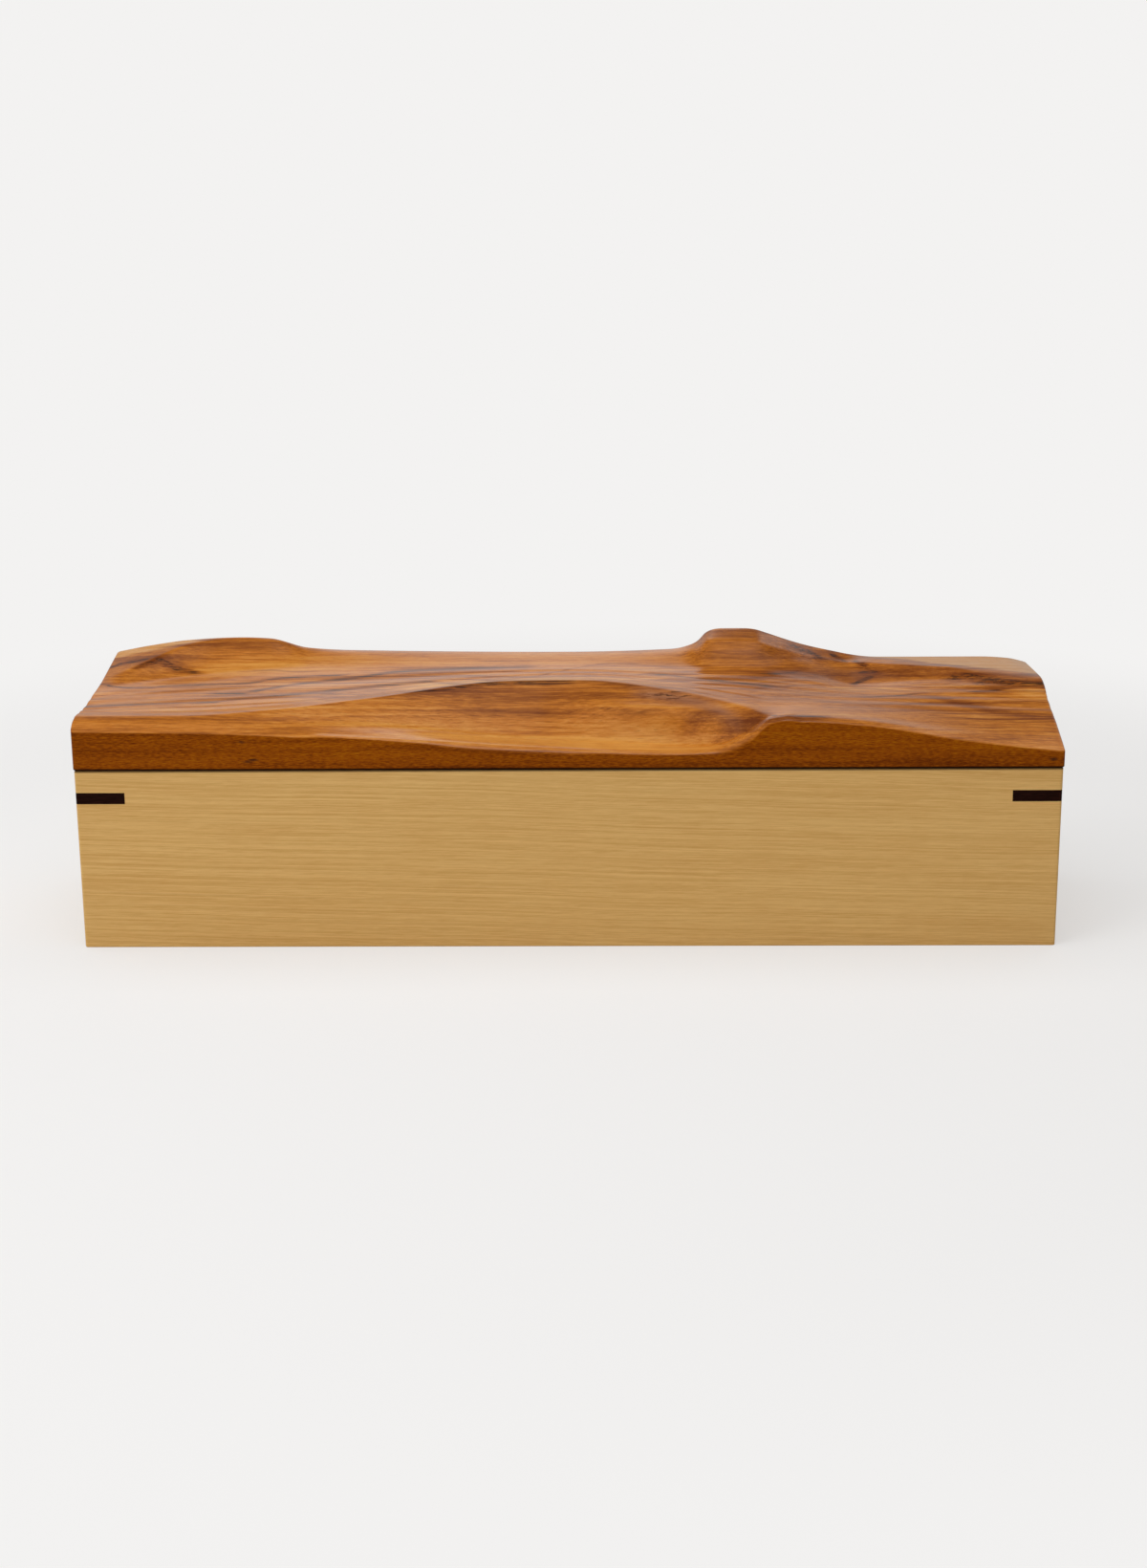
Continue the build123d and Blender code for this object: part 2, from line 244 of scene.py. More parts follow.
# Where the room is bright, by direction: x to the right, y to the back, z up. Two numbers are where a panel
# starts and is full; four add where it begins to fade and where it ends.
BACKDROP_TOP = (0.3, 0.6)
BEHIND = (0.0, 0.4)
LEFT_PANEL_X = (-0.28, -0.09, -0.02, 0.16)
LEFT_PANEL_Z = (0.16, 0.32, 0.52, 0.68)
RIGHT_PANEL_X = (0.24, 0.33, 0.43, 0.52)
RIGHT_PANEL_Z = (0.36, 0.54, 0.66, 0.84)
OVERHEAD_X = (-0.1, 0.15)
OVERHEAD_Z = (0.82, 0.95)
STRIP_X = (-0.10, 0.0, 0.12, 0.2)
STRIP_Y = (-0.85, -0.75, -0.40, -0.28)
STRIP_Z = (0.0, 0.2)


def linear(colour):
    """A display colour as the light it stands for, opaque."""
    light = [c / 12.92 if c <= 0.04045 else ((c + 0.055) / 1.055) ** 2.4 for c in colour]
    return (*light, 1.0)


def colour_setting(name, description, red, green, blue):
    """A colour that a user may change, written as the bytes that the screen shows."""
    return FloatVectorProperty(name=name, description=description, subtype="COLOR_GAMMA", size=3, min=0,
                               max=1, default=(red / 255, green / 255, blue / 255))


def number_setting(name, description, default, **kind):
    """A number that a user may change."""
    return FloatProperty(name=name, description=description, default=default, **kind)


def length_setting(name, description, millimetres):
    """A length that a user may change."""
    return number_setting(name, description, millimetres * MM, subtype="DISTANCE", unit="LENGTH", min=0)


def count_setting(name, description, count):
    """A whole number that a user may change."""
    return IntProperty(name=name, description=description, default=count, min=0)


class LidSettings(PropertyGroup):
    """Sizes and colours of the carved lid."""

    mesh_step: length_setting("Mesh step", "Distance between rows of the top's mesh", 0.6)
    corner: length_setting("Corner radius", "Radius of the lid's upright corners", 1.2)
    end_ease: length_setting("End easing", "Rounding of the top's arris at the ends and back", 0.5)
    low_ease: length_setting("Lower easing", "Rounding of the arris at the lid's underside", 0.5)
    tongue_play: length_setting("Tongue play", "Room between the tongue and the boards", 0.4)
    tongue_ease: length_setting("Tongue easing", "Rounding of the tongue's lower arris", 0.8)
    left_sanding: count_setting("Sanding at the left", "Passes that soften the left end", 5)
    right_sanding: count_setting("Sanding at the right", "Passes that soften the right end", 14)
    flute: length_setting("Flute depth", "Height of the gentle flutes that the tool left", 0.12)
    deep: colour_setting("Deep grain", "Darkest ordinary growth lines", 114, 54, 14)
    brown: colour_setting("Brown grain", "Ordinary darker wood", 158, 88, 27)
    orange: colour_setting("Orange grain", "Ordinary lighter wood", 198, 119, 38)
    gold: colour_setting("Gold grain", "Lightest heartwood", 223, 154, 70)
    streak: colour_setting("Dark streaks", "Near-black figure", 48, 28, 18)
    # A painted sheen on the roll at the end of the bowl
    grey: colour_setting("Painted sheen", "Painted sheen on the roll at the end of the bowl", 166, 122, 98)
    sapwood: colour_setting("Sapwood", "Pale outer wood behind the crests", 226, 172, 112)
    # Painted shade along the lid's lower edge, where it meets the box
    seam: colour_setting("Seam", "Painted shade where the lid meets the box", 22, 10, 3)
    side: colour_setting("Side tint", "What the sawn faces are multiplied by", 200, 173, 46)


class BoardSettings(PropertyGroup):
    """Colours of the pale boards and of the bottom panel."""

    pale: colour_setting("Pale wood", "Early wood between the growth lines", 232, 189, 118)
    line: colour_setting("Growth lines", "Late wood of the ordinary growth lines", 213, 163, 92)
    brown_line: colour_setting("Brown lines", "The few darker growth lines", 176, 116, 52)
    # Painted shade along the boards' top edges, where they meet the lid
    seam: colour_setting("Seam", "Painted shade where the boards meet the lid", 60, 36, 14)


class KeySettings(PropertyGroup):
    """Colours of the corner keys."""

    dark: colour_setting("Dark wood", "Most of the key", 30, 10, 5)
    grain: colour_setting("Grain", "Lighter grain in the key", 48, 18, 10)


class StageSettings(PropertyGroup):
    """Floor, light and camera."""

    floor: colour_setting("Floor", "Colour of the floor and of the background", 243, 242, 241)
    floor_radius: length_setting("Floor radius", "Radius of the floor", 6000.0)
    camera_place: FloatVectorProperty(name="Camera place", description="Where the camera stands", size=3,
                                      subtype="TRANSLATION", unit="LENGTH", default=(0.0128, -0.686, 0.2331))
    pitch: number_setting("Pitch", "How far the camera looks down", radians(15.81), subtype="ANGLE")
    yaw: number_setting("Yaw", "How far the camera looks to the right", radians(-0.97), subtype="ANGLE")
    roll: number_setting("Roll", "How far the camera leans", radians(0.451), subtype="ANGLE")
    focal_pixels: number_setting("Focal length", "Focal length in pixels of the full image", 2500.0)
    top_power: number_setting("Top light", "Power of the soft lamp overhead", 16.2, unit="POWER")
    side_power: number_setting("Side light", "Power of the soft lamp at the front left", 4.5, unit="POWER")
    floor_glow: number_setting("Floor glow", "How evenly bright the floor is by the box", 0.54, min=0, max=1)
    overhead: number_setting("Overhead panel", "Brightness of the panel above the box", 0.4)
    left_panel: number_setting("Left panel", "Brightness of the panel behind on the left", 0.68)
    right_panel: number_setting("Right panel", "Brightness of the panel behind on the right", 0.9)
    strip: number_setting("Strip", "Brightness of the strip that the oiled wood mirrors", 3.0)
    backdrop: number_setting("Backdrop", "Brightness of the low backdrop behind the box", 0.36)
    front_gloss: number_setting("Front gloss", "Brightness of the room in front, as mirrored", 0.04)


class Value:
    """A number that varies over a surface: arithmetic on it adds Math nodes."""

    def __init__(self, finish, socket):
        self.finish = finish
        self.socket = socket

    def math(self, operation, first, second=0.0):
        """One Math node on two values or numbers."""
        return self.finish.node("ShaderNodeMath", {"operation": operation}, {0: first, 1: second})

    def __add__(self, other):
        return self.math("ADD", self, other)

    def __radd__(self, other):
        return self.math("ADD", other, self)

    def __sub__(self, other):
        return self.math("SUBTRACT", self, other)

    def __rsub__(self, other):
        return self.math("SUBTRACT", other, self)

    def __mul__(self, other):
        return self.math("MULTIPLY", self, other)

    def __truediv__(self, other):
        return self.math("DIVIDE", self, other)

    def __abs__(self):
        return self.math("ABSOLUTE", self)

    def root(self):
        """The square root."""
        return self.math("SQRT", self)

    def higher(self, other):
        """The higher of two values."""
        return self.math("MAXIMUM", self, other)

    def step(self, low, high):
        """Rises smoothly from 0 at low to 1 at high."""
        return self.finish.node("ShaderNodeMapRange", {"interpolation_type": "SMOOTHSTEP"},
                                {"Value": self, "From Min": low, "From Max": high})

    def window(self, start, full, fading, end):
        """Rises smoothly from 0 at start to 1 at full, and falls from 1 at fading to 0 at end."""
        return self.step(start, full) * (1 - self.step(fading, end))


class Finish:
    """A material, or the room round the scene, and the nodes that make it."""

    def __init__(self, name, kept_with=None):
        self.material = (bpy.data.materials if kept_with is None else kept_with).new(name)
        self.material.use_nodes = True
        self.tree = self.material.node_tree
        self.tree.nodes.clear()

    def node(self, kind, settings=None, inputs=None, output=0):
        """Adds a node with its settings and its sockets' values or links, and gives one of its outputs."""
        node = self.tree.nodes.new(kind)
        for name, setting in (settings or {}).items():
            if name == "stops":
                self.set_stops(node.color_ramp, setting)
            else:
                setattr(node, name, setting)
        for name, value in (inputs or {}).items():
            if isinstance(value, Value):
                self.tree.links.new(value.socket, node.inputs[name])
            else:
                node.inputs[name].default_value = value
        return Value(self, node.outputs[output])

    @staticmethod
    def set_stops(ramp, stops):
        """Gives a colour ramp its stops, each a place and a colour."""
        while len(ramp.elements) < len(stops):
            ramp.elements.new(1.0)
        for element, (place, colour) in zip(ramp.elements, stops):
            element.position = place
            element.color = colour

    def place(self):
        """Object coordinates in millimetres, as three values."""
        coordinates = self.node("ShaderNodeTexCoord", output="Object")
        scaled = self.node("ShaderNodeVectorMath", {"operation": "SCALE"}, {0: coordinates, "Scale": 1 / MM})
        return self.parts(scaled)

    def parts(self, vector):
        """The three values of a vector."""
        return [self.node("ShaderNodeSeparateXYZ", None, {0: vector}, output=i) for i in range(3)]

    def vector(self, x, y, z):
        """Three values or numbers as one vector."""
        return self.node("ShaderNodeCombineXYZ", None, {0: x, 1: y, 2: z})

    def noise(self, x, y, z, detail=2.0, roughness=0.5):
        """Smooth noise, from 0 to 1 about 0.5, at a place already scaled to the pattern's size."""
        return self.node("ShaderNodeTexNoise", {"noise_dimensions": "3D"},
                         {"Vector": self.vector(x, y, z), "Scale": 1.0, "Detail": detail,
                          "Roughness": roughness})

    def outside(self, x, y, half_length, half_depth):
        """1 at the outline of a plan, and 0 from a little way in."""
        beyond_end = abs(x) - half_length / MM
        beyond_face = abs(y) - half_depth / MM
        return beyond_end.higher(beyond_face).step(*OUTLINE_BLEND)

    def attribute(self, name):
        """A number stored on the piece's own points."""
        return self.node("ShaderNodeAttribute", {"attribute_name": name}, output="Fac")

    def ramp(self, value, stops):
        """A colour looked up along stops of place and display colour."""
        lit = [(place, linear(colour)) for place, colour in stops]
        return self.node("ShaderNodeValToRGB", {"stops": lit}, {"Fac": value})

    def mix(self, share, first, second, blend="MIX"):
        """Two colours mixed by a share."""
        return self.node("ShaderNodeMix", {"data_type": "RGBA", "blend_type": blend},
                         {0: share, 6: first, 7: second}, output=2)

    def bump(self, height, depth):
        """A normal that follows a height between 0 and 1 with the given depth in metres."""
        return self.node("ShaderNodeBump", None, {"Strength": 1.0, "Distance": depth, "Height": height})

    def close(self, colour, roughness, normal, **others):
        """Ends in one Principled shader; the others are for the sockets that they are named after."""
        inputs = {"Base Color": colour, "Roughness": roughness, "Normal": normal}
        for name, value in others.items():
            inputs[name.replace("_", " ")] = value
        surface = self.node("ShaderNodeBsdfPrincipled", None, inputs)
        self.node_output(surface)
        return self.material

    def node_output(self, surface, kind="ShaderNodeOutputMaterial"):
        """Links a shader to the output."""
        output = self.tree.nodes.new(kind)
        self.tree.links.new(surface.socket, output.inputs["Surface"])


def lid_wood(settings):
    """Oiled orange-brown hardwood: growth layers that the carving cuts through, dark figure, sapwood, painted
    shade and highlights.
    """
    wood = Finish("figured_lid_wood")
    x, y, z = wood.place()
    up = z - LID_UNDERSIDE / MM
    drift = wood.noise(x * 0.008, y * 0.03, up * 0.03, detail=3) - 0.5
    layer = up + y * LID_LAYER_RISE + drift * LID_LAYER_DRIFT
    broad = wood.noise(x * 0.006, y * 0.006, layer * 0.22, detail=2)
    fine = wood.noise(x * 0.016, y * 0.016, layer * 0.9, detail=5, roughness=0.68)
    fibre = wood.noise(x * 0.07, y * 2.0, up * 2.0, detail=3, roughness=0.6)
    fleck = wood.noise(x * 0.6, y * 1.1, up * 4.0, detail=4, roughness=0.6)
    hair = wood.noise(x * 0.03, y * 1.6, up * 3.0, detail=4, roughness=0.65)
    grit = wood.noise(x * 0.25, y * 0.8, up * 2.5, detail=3, roughness=0.7)
    patch = wood.noise(x * 0.02, y * 0.04, up * 0.05, detail=2)
    side = wood.attribute("side")
    figure = wood.attribute("figure")
    carved_tone = (broad - 0.5) * 0.55 + (fine - 0.5) * (0.85 + figure) + (fibre - 0.5) * 0.5
    # The tone attribute holds the wood's own lighter and darker patches, and painted shade and highlights as
    # well
    carved_tone = carved_tone + (grit - 0.5) * 0.45 + wood.attribute("tone")
    sawn_tone = (broad - 0.5) * 0.6 + (fine - 0.5) * 0.5 + (fleck - 0.5) * 1.2
    tone = 0.5 + carved_tone + side * (sawn_tone - carved_tone) + (patch - 0.5) * 0.3
    colour = wood.ramp(tone, [(0.12, settings.deep), (0.38, settings.brown), (0.58, settings.orange),
                              (0.86, settings.gold)])
    sapwood = (wood.attribute("sapwood") + (fine - 0.5) * 0.7).step(0.35, 0.75)
    paler = (fine + (grit - 0.5) * 0.8).step(0.35, 0.75)
    pale = wood.mix(paler, linear(settings.gold), linear(settings.sapwood))
    colour = wood.mix(sapwood * 0.85, colour, pale)
    # A painted sheen on the roll at the end of the bowl, mixed over the wood
    colour = wood.mix(wood.attribute("grey") * (0.75 + (grit - 0.5) * 0.9), colour, linear(settings.grey))
    streak = wood.attribute("streak")
    dark = streak.step(0.04, 0.6) * (0.4 + hair.step(0.43, 0.58) * 0.6)
    specks = wood.noise(x * 0.22, y * 0.7, up * 1.4, detail=3, roughness=0.6).step(0.52, 0.60)
    dark = dark.higher(specks * wood.attribute("speckle"))
    lines = wood.noise(x * 0.012, y * 0.012, layer * 2.2, detail=2).step(0.55, 0.63)
    colour = wood.mix(lines * figure.step(0.05, 0.5) * 0.6, colour, linear(settings.deep))
    stain = wood.mix(dark.step(0.45, 0.95), linear(settings.deep), linear(settings.streak))
    colour = wood.mix(dark * 0.92, colour, stain)
    pores = wood.noise(x * 0.16, y * 3.2, up * 3.2, detail=1).step(0.64, 0.76)
    colour = wood.mix(pores * 0.4, colour, linear(settings.deep))
    colour = wood.mix(side, colour, linear(settings.side), blend="MULTIPLY")
    knots = 0.0
    for along, height, darkness in FACE_KNOTS:
        off = abs(x - along) / KNOT_HALF_WIDTH + abs(up - height) / KNOT_HALF_HEIGHT + (fleck - 0.5) * 1.2
        knots = knots + (1 - off.step(0.2, 1.1)) * darkness
    colour = wood.mix(knots * side, colour, linear(settings.streak))
    # Painted shade along the lid's lower edge, where it meets the box
    seam = (1 - up.step(*LID_PAINTED_SHADE)) * wood.outside(x, y, LID_HIGH.x, LID_HIGH.y)
    colour = wood.mix(seam * 0.95, colour, linear(settings.seam))
    roughness = 0.32 + (fibre - 0.5) * 0.14 + (patch - 0.5) * 0.12 + side * 0.1
    relief = fibre * 0.6 + fine * 0.3 - pores * 0.4
    return wood.close(colour, roughness, wood.bump(relief, 0.025 * MM), IOR=1.12,
                      Coat_Weight=(1 - side) * 0.9, Coat_Roughness=0.18)


def board_wood(settings, name, grain, seed):
    """Pale straight-grained softwood with fine growth lines along the board, and painted shade at its top
    edge.
    """
    wood = Finish(name)
    x, y, z = wood.place()
    along, across = (x, y) if grain == "X" else (y, x)
    drift = wood.noise(along * 0.007, across * 0.02 + seed, z * 0.015, detail=2) - 0.5
    rise_along, rise_across = BOARD_LAYER_RISE
    layer = z + along * rise_along + across * rise_across + drift * BOARD_LAYER_DRIFT
    lines = wood.noise(along * 0.006, layer * 1.2, seed, detail=4, roughness=0.65)
    fine = wood.noise(along * 0.02, layer * 3.2, seed + 7.0, detail=3, roughness=0.65)
    fibre = wood.noise(along * 0.2, across * 3.5, z * 3.5, detail=3, roughness=0.65)
    brown = wood.noise(along * 0.003, layer * 0.42, seed + 3.0, detail=2).step(0.60, 0.78)
    tone = 0.5 + (lines - 0.5) * 0.75 + (fine - 0.5) * 0.8 + (fibre - 0.5) * 0.6
    colour = wood.mix(tone.step(0.25, 0.75), linear(settings.line), linear(settings.pale))
    colour = wood.mix(brown * fine.step(0.35, 0.6) * 0.35, colour, linear(settings.brown_line))
    # Painted shade along the boards' top edges, where they meet the lid
    seam = (z - LID_UNDERSIDE / MM).step(*BOARD_PAINTED_SHADE) * wood.outside(x, y, *OUTER_HALF)
    colour = wood.mix(seam * 0.75, colour, linear(settings.seam))
    roughness = 0.48 + (fibre - 0.5) * 0.14 + (lines - 0.5) * 0.08
    relief = fibre * 0.5 + fine * 0.5
    return wood.close(colour, roughness, wood.bump(relief, 0.04 * MM), IOR=1.25)


def key_wood(settings):
    """Near-black hardwood, sanded flush and oiled."""
    wood = Finish("dark_key_wood")
    x, y, z = wood.place()
    turned = (x + y) * 0.7
    fibre = wood.noise(turned * 0.25, z * 3.5, (x - y) * 0.25, detail=3, roughness=0.6)
    fleck = wood.noise(turned * 0.5, z * 7.0, (x - y) * 0.5, detail=2)
    lighter = (fibre + (fleck - 0.5) * 0.4).step(0.35, 0.8)
    colour = wood.mix(lighter, linear(settings.dark), linear(settings.grain))
    roughness = 0.42 + (fleck - 0.5) * 0.2
    return wood.close(colour, roughness, wood.bump(fibre, 0.03 * MM), IOR=1.2)


def dress(node, material):
    """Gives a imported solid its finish."""
    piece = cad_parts[node]
    piece.data.materials.clear()
    piece.data.materials.append(material)


def mixed(first, second, share):
    """What lies a share of the way from the first to the second."""
    return first + (second - first) * share


def slopes_through(places, values):
    """Slopes of a curve through the values that stays between them."""
    rises = np.diff(values) / np.diff(places)
    slopes = [rises[0]]
    for rise, next_rise in zip(rises, rises[1:]):
        slopes.append(2 * rise * next_rise / (rise + next_rise) if rise * next_rise > 0 else 0.0)
    slopes.append(rises[-1])
    return np.array(slopes)


def between(start, end, start_value, end_value, start_slope, end_slope, place):
    """The cubic from start to end with the given values and slopes."""
    run = end - start
    t = (place - start) / run
    return (start_value * (1 + 2 * t) * (1 - t) ** 2 + run * start_slope * t * (1 - t) ** 2
            + end_value * t * t * (3 - 2 * t) + run * end_slope * t * t * (t - 1))


def curve_values(knots, column, along):
    """The curve through one column of the knots, at many places along; level beyond its ends."""
    places = np.array([knot[0] for knot in knots], float)
    values = np.array([knot[column] for knot in knots], float)
    slopes = slopes_through(places, values)
    along = np.clip(along, places[0], places[-1])
    i = np.clip(np.searchsorted(places, along, side="right") - 1, 0, len(places) - 2)
    return between(places[i], places[i + 1], values[i], values[i + 1], slopes[i], slopes[i + 1], along)


def carved_section(across_knots, up_knots, crisp, across):
    """Heights across one station through its rails' points, and the rail that each place lies at."""
    slopes = slopes_through(across_knots, up_knots)
    chords = np.diff(up_knots) / np.diff(across_knots)
    leaving = mixed(slopes[:-1], chords, crisp[:-1])
    arriving = mixed(slopes[1:], chords, crisp[1:])
    i = np.clip(np.searchsorted(across_knots, across, side="right") - 1, 0, len(across_knots) - 2)
    up = between(across_knots[i], across_knots[i + 1], up_knots[i], up_knots[i + 1], leaving[i], arriving[i],
                 across)
    flow = i + (across - across_knots[i]) / (across_knots[i + 1] - across_knots[i])
    return up, flow


def sanded(heights, passes):
    """Heights drawn towards their neighbours, as sanding rounds an arris."""
    for _ in range(passes):
        padded = np.pad(heights, 1, mode="edge")
        beside = padded[:-2, 1:-1] + padded[2:, 1:-1] + padded[1:-1, :-2] + padded[1:-1, 2:]
        heights = (4 * heights + beside) / 8
    return heights


class CarvedTop:
    """The carved top on a fine even grid: its height, the rail at each place, the wood's figure and painted
    light.
    """

    def __init__(self, settings):
        self.half_length = LID_HIGH.x
        self.half_depth = LID_HIGH.y
        self.xs = np.linspace(-self.half_length, self.half_length, int(2 * self.half_length / GRID_STEP) + 1)
        self.ys = np.linspace(-self.half_depth, self.half_depth, int(2 * self.half_depth / GRID_STEP) + 1)
        self.along = self.xs / self.half_length * 100
        self.across = (self.ys / self.half_depth + 1) * 50
        self.up, self.flow = self.carve()
        self.smooth(settings)

    def carve(self):
        """Heights in hundredths of the thickness, and rail places, at every grid point."""
        level = np.zeros_like(self.along)
        across_rails = np.array([level] + [curve_values(knots, 1, self.along) for knots, _ in RAILS])
        up_rails = np.array([level] + [curve_values(knots, 2, self.along) for knots, _ in RAILS])
        up_rails[0] = up_rails[1] - BEAD_DROP
        for shelf in SHELVES:
            before, middle, behind = shelf, shelf + 1, shelf + 2
            share = across_rails[middle] / 100
            across_rails[middle] = mixed(across_rails[before], across_rails[behind], share)
            up_rails[middle] += mixed(up_rails[before], up_rails[behind], share)
        crisp = np.array([level] + [curve_values(arris, 1, self.along) for _, arris in RAILS])
        up = np.zeros((len(self.xs), len(self.ys)))
        flow = np.zeros_like(up)
        for n in range(len(self.along)):
            up[n], flow[n] = carved_section(across_rails[:, n], up_rails[:, n], crisp[:, n], self.across)
        return up, flow

    def smooth(self, settings):
        """Sands the carving, more at the right than at the left, and adds the flutes and the low rolls."""
        first, last = SANDING_TURN
        share = np.clip((self.along[:, None] - first) / (last - first), 0, 1)
        left = sanded(self.up, settings.left_sanding)
        right = sanded(left, settings.right_sanding - settings.left_sanding)
        self.up = mixed(left, right, share)
        front, back = FLUTED_RAILS
        wave = np.sin(2 * np.pi * FLUTE_COUNT * self.flow + FLUTE_DRIFT * self.along[:, None])
        inside = np.minimum(self.flow - front, back - self.flow)
        raised = wave * np.clip(inside / FLUTE_FADE, 0, 1) * settings.flute / MM + self.bands(ROLLS)
        self.up += raised / LID_THICKNESS * 100

    def look_up(self, grid, x, y):
        """A grid's values at many places, between its points."""
        column = np.clip((x - self.xs[0]) / (self.xs[1] - self.xs[0]), 0, len(self.xs) - 1.001)
        row = np.clip((y - self.ys[0]) / (self.ys[1] - self.ys[0]), 0, len(self.ys) - 1.001)
        i, j = column.astype(int), row.astype(int)
        s, t = column - i, row - j
        return ((1 - s) * (1 - t) * grid[i, j] + s * (1 - t) * grid[i + 1, j]
                + (1 - s) * t * grid[i, j + 1] + s * t * grid[i + 1, j + 1])

    def height(self, x, y):
        """How high the carved top stands, in metres."""
        return LID_UNDERSIDE + self.look_up(self.up, x, y) / 100 * LID_THICKNESS * MM

    def bands(self, lines, spread=1.0):
        """Soft bands along the lines at every grid point, each one's width times the spread."""
        strongest = np.zeros_like(self.up)
        for knots, half_width, strength in lines:
            first, last = knots[0][0], knots[-1][0]
            fade = min(LINE_FADE, (last - first) / 3)
            ends = np.ones_like(self.along)
            if first > -LID_END:
                ends *= np.clip((self.along - first) / fade, 0, 1)
            if last < LID_END:
                ends *= np.clip((last - self.along) / fade, 0, 1)
            centre = curve_values(knots, 1, self.along)
            off = (self.across[None, :] - centre[:, None]) / 50 * self.half_depth / MM
            band = strength * ends[:, None] * np.exp(-(off / half_width / spread) ** 2)
            strongest = np.maximum(strongest, band)
        return strongest

    def areas(self, patches):
        """The sum of soft patches at every grid point."""
        total = np.zeros_like(self.up)
        for along, across, reach_along, reach_across, amount in patches:
            off_along = (self.along[:, None] - along) / reach_along
            off_across = (self.across[None, :] - across) / reach_across
            total += amount * np.exp(-(off_along ** 2 + off_across ** 2))
        return total

    def tones_and_painted_light(self):
        """How much lighter or darker than usual the wood is at every grid point, with painted shade and
        highlights.
        """
        halo = self.bands(DARK_STREAKS, STREAK_HALO) * STREAK_SHADE
        # Brown bands: darker wood at the right end, and painted shade on the bowl's back wall and under its
        # roll
        brown = self.bands(BROWN_WOOD_AND_PAINTED_SHADE_BANDS) * BROWN_AND_PAINTED_SHADE
        return halo + brown + self.areas(TONE_AND_PAINTED_LIGHT_AREAS)

    def sapwood(self):
        """How pale the outer wood is at every grid point."""
        pale = np.zeros_like(self.up)
        for knots, strength in SAPWOOD_EDGES:
            first, last = knots[0][0], knots[-1][0]
            inside = (self.along >= first - SAPWOOD_MARGIN) & (self.along <= last + SAPWOOD_MARGIN)
            edge = curve_values(knots, 1, self.along)
            beyond = (self.across[None, :] - edge[:, None]) / SAPWOOD_REACH
            rise = np.clip(SAPWOOD_START + beyond, 0, 1)
            pale = np.maximum(pale, strength * rise * inside[:, None])
        return pale

    def looks(self):
        """What the lid's wood and its painted light and shade read, by the name of its attribute."""
        return {"streak": self.bands(DARK_STREAKS), "sapwood": self.sapwood(), "tone": self.tones_and_painted_light(),
                "speckle": self.areas(SPECKLES), "figure": self.areas(FIGURE_AREAS),
                "grey": self.bands(PAINTED_SHEEN_BANDS)}


def eased_places(half_span, ease, step):
    """Places across a span, close together over the eased arris at each end and even between them."""
    arris = [half_span - ease * (1 - cos(n / ARRIS_ROWS * pi / 2)) for n in range(ARRIS_ROWS)]
    inner = half_span - ease
    count = round(2 * inner / step)
    places = [-place for place in arris] + list(np.linspace(-inner, inner, count + 1)) + arris[::-1]
    return np.array(places)


def rounded_plan(x, y, half_length, half_depth, corner):
    """Moves places in each corner's square on to its quarter disc, and gives all distances to the outline."""
    a = np.clip(np.abs(x) - (half_length - corner), 0, None)
    b = np.clip(np.abs(y) - (half_depth - corner), 0, None)
    in_corner = (a > 0) & (b > 0)
    disc_a = a * np.sqrt(1 - b * b / (2 * corner * corner))
    disc_b = b * np.sqrt(1 - a * a / (2 * corner * corner))
    new_x = np.where(in_corner, np.sign(x) * (half_length - corner + disc_a), x)
    new_y = np.where(in_corner, np.sign(y) * (half_depth - corner + disc_b), y)
    from_faces = np.minimum(half_length - np.abs(new_x), half_depth - np.abs(new_y))
    from_disc = corner - np.hypot(disc_a, disc_b)
    return new_x, new_y, np.where(in_corner, from_disc, from_faces)


def deselect_all():
    """Leaves no object selected."""
    if bpy.context.mode != "OBJECT":
        bpy.ops.object.mode_set(mode="OBJECT")
    bpy.ops.object.select_all(action="DESELECT")


def add_grid(name, columns, rows):
    """A grid primitive with the given count of points each way, in rows of growing x within growing y."""
    deselect_all()
    bpy.ops.mesh.primitive_grid_add(x_subdivisions=columns - 1, y_subdivisions=rows - 1, size=2)
    piece = bpy.context.object
    piece.name = name
    piece.data.name = name
    if len(piece.data.vertices) != columns * rows:
        raise RuntimeError(f"{name}: the grid has {len(piece.data.vertices)} points, not {columns * rows}")
    return piece


def point_places(piece):
    """The mesh's points as an array."""
    places = np.zeros(len(piece.data.vertices) * 3)
    piece.data.vertices.foreach_get("co", places)
    return places.reshape(-1, 3)


def store(piece, name, values):
    """Keeps one number for each point on the piece's own mesh."""
    kept = piece.data.attributes.new(name, "FLOAT", "POINT")
    kept.data.foreach_set("value", np.asarray(values, np.float32))


def front_or_end_ease(places, top, settings):
    """How far the top is rounded over by each place: its own amount at the front, one elsewhere."""
    front_ease = curve_values(FRONT_EASES, 1, places[:, 0] / top.half_length * 100) * MM
    return np.where(places[:, 1] < 0, front_ease, settings.end_ease)


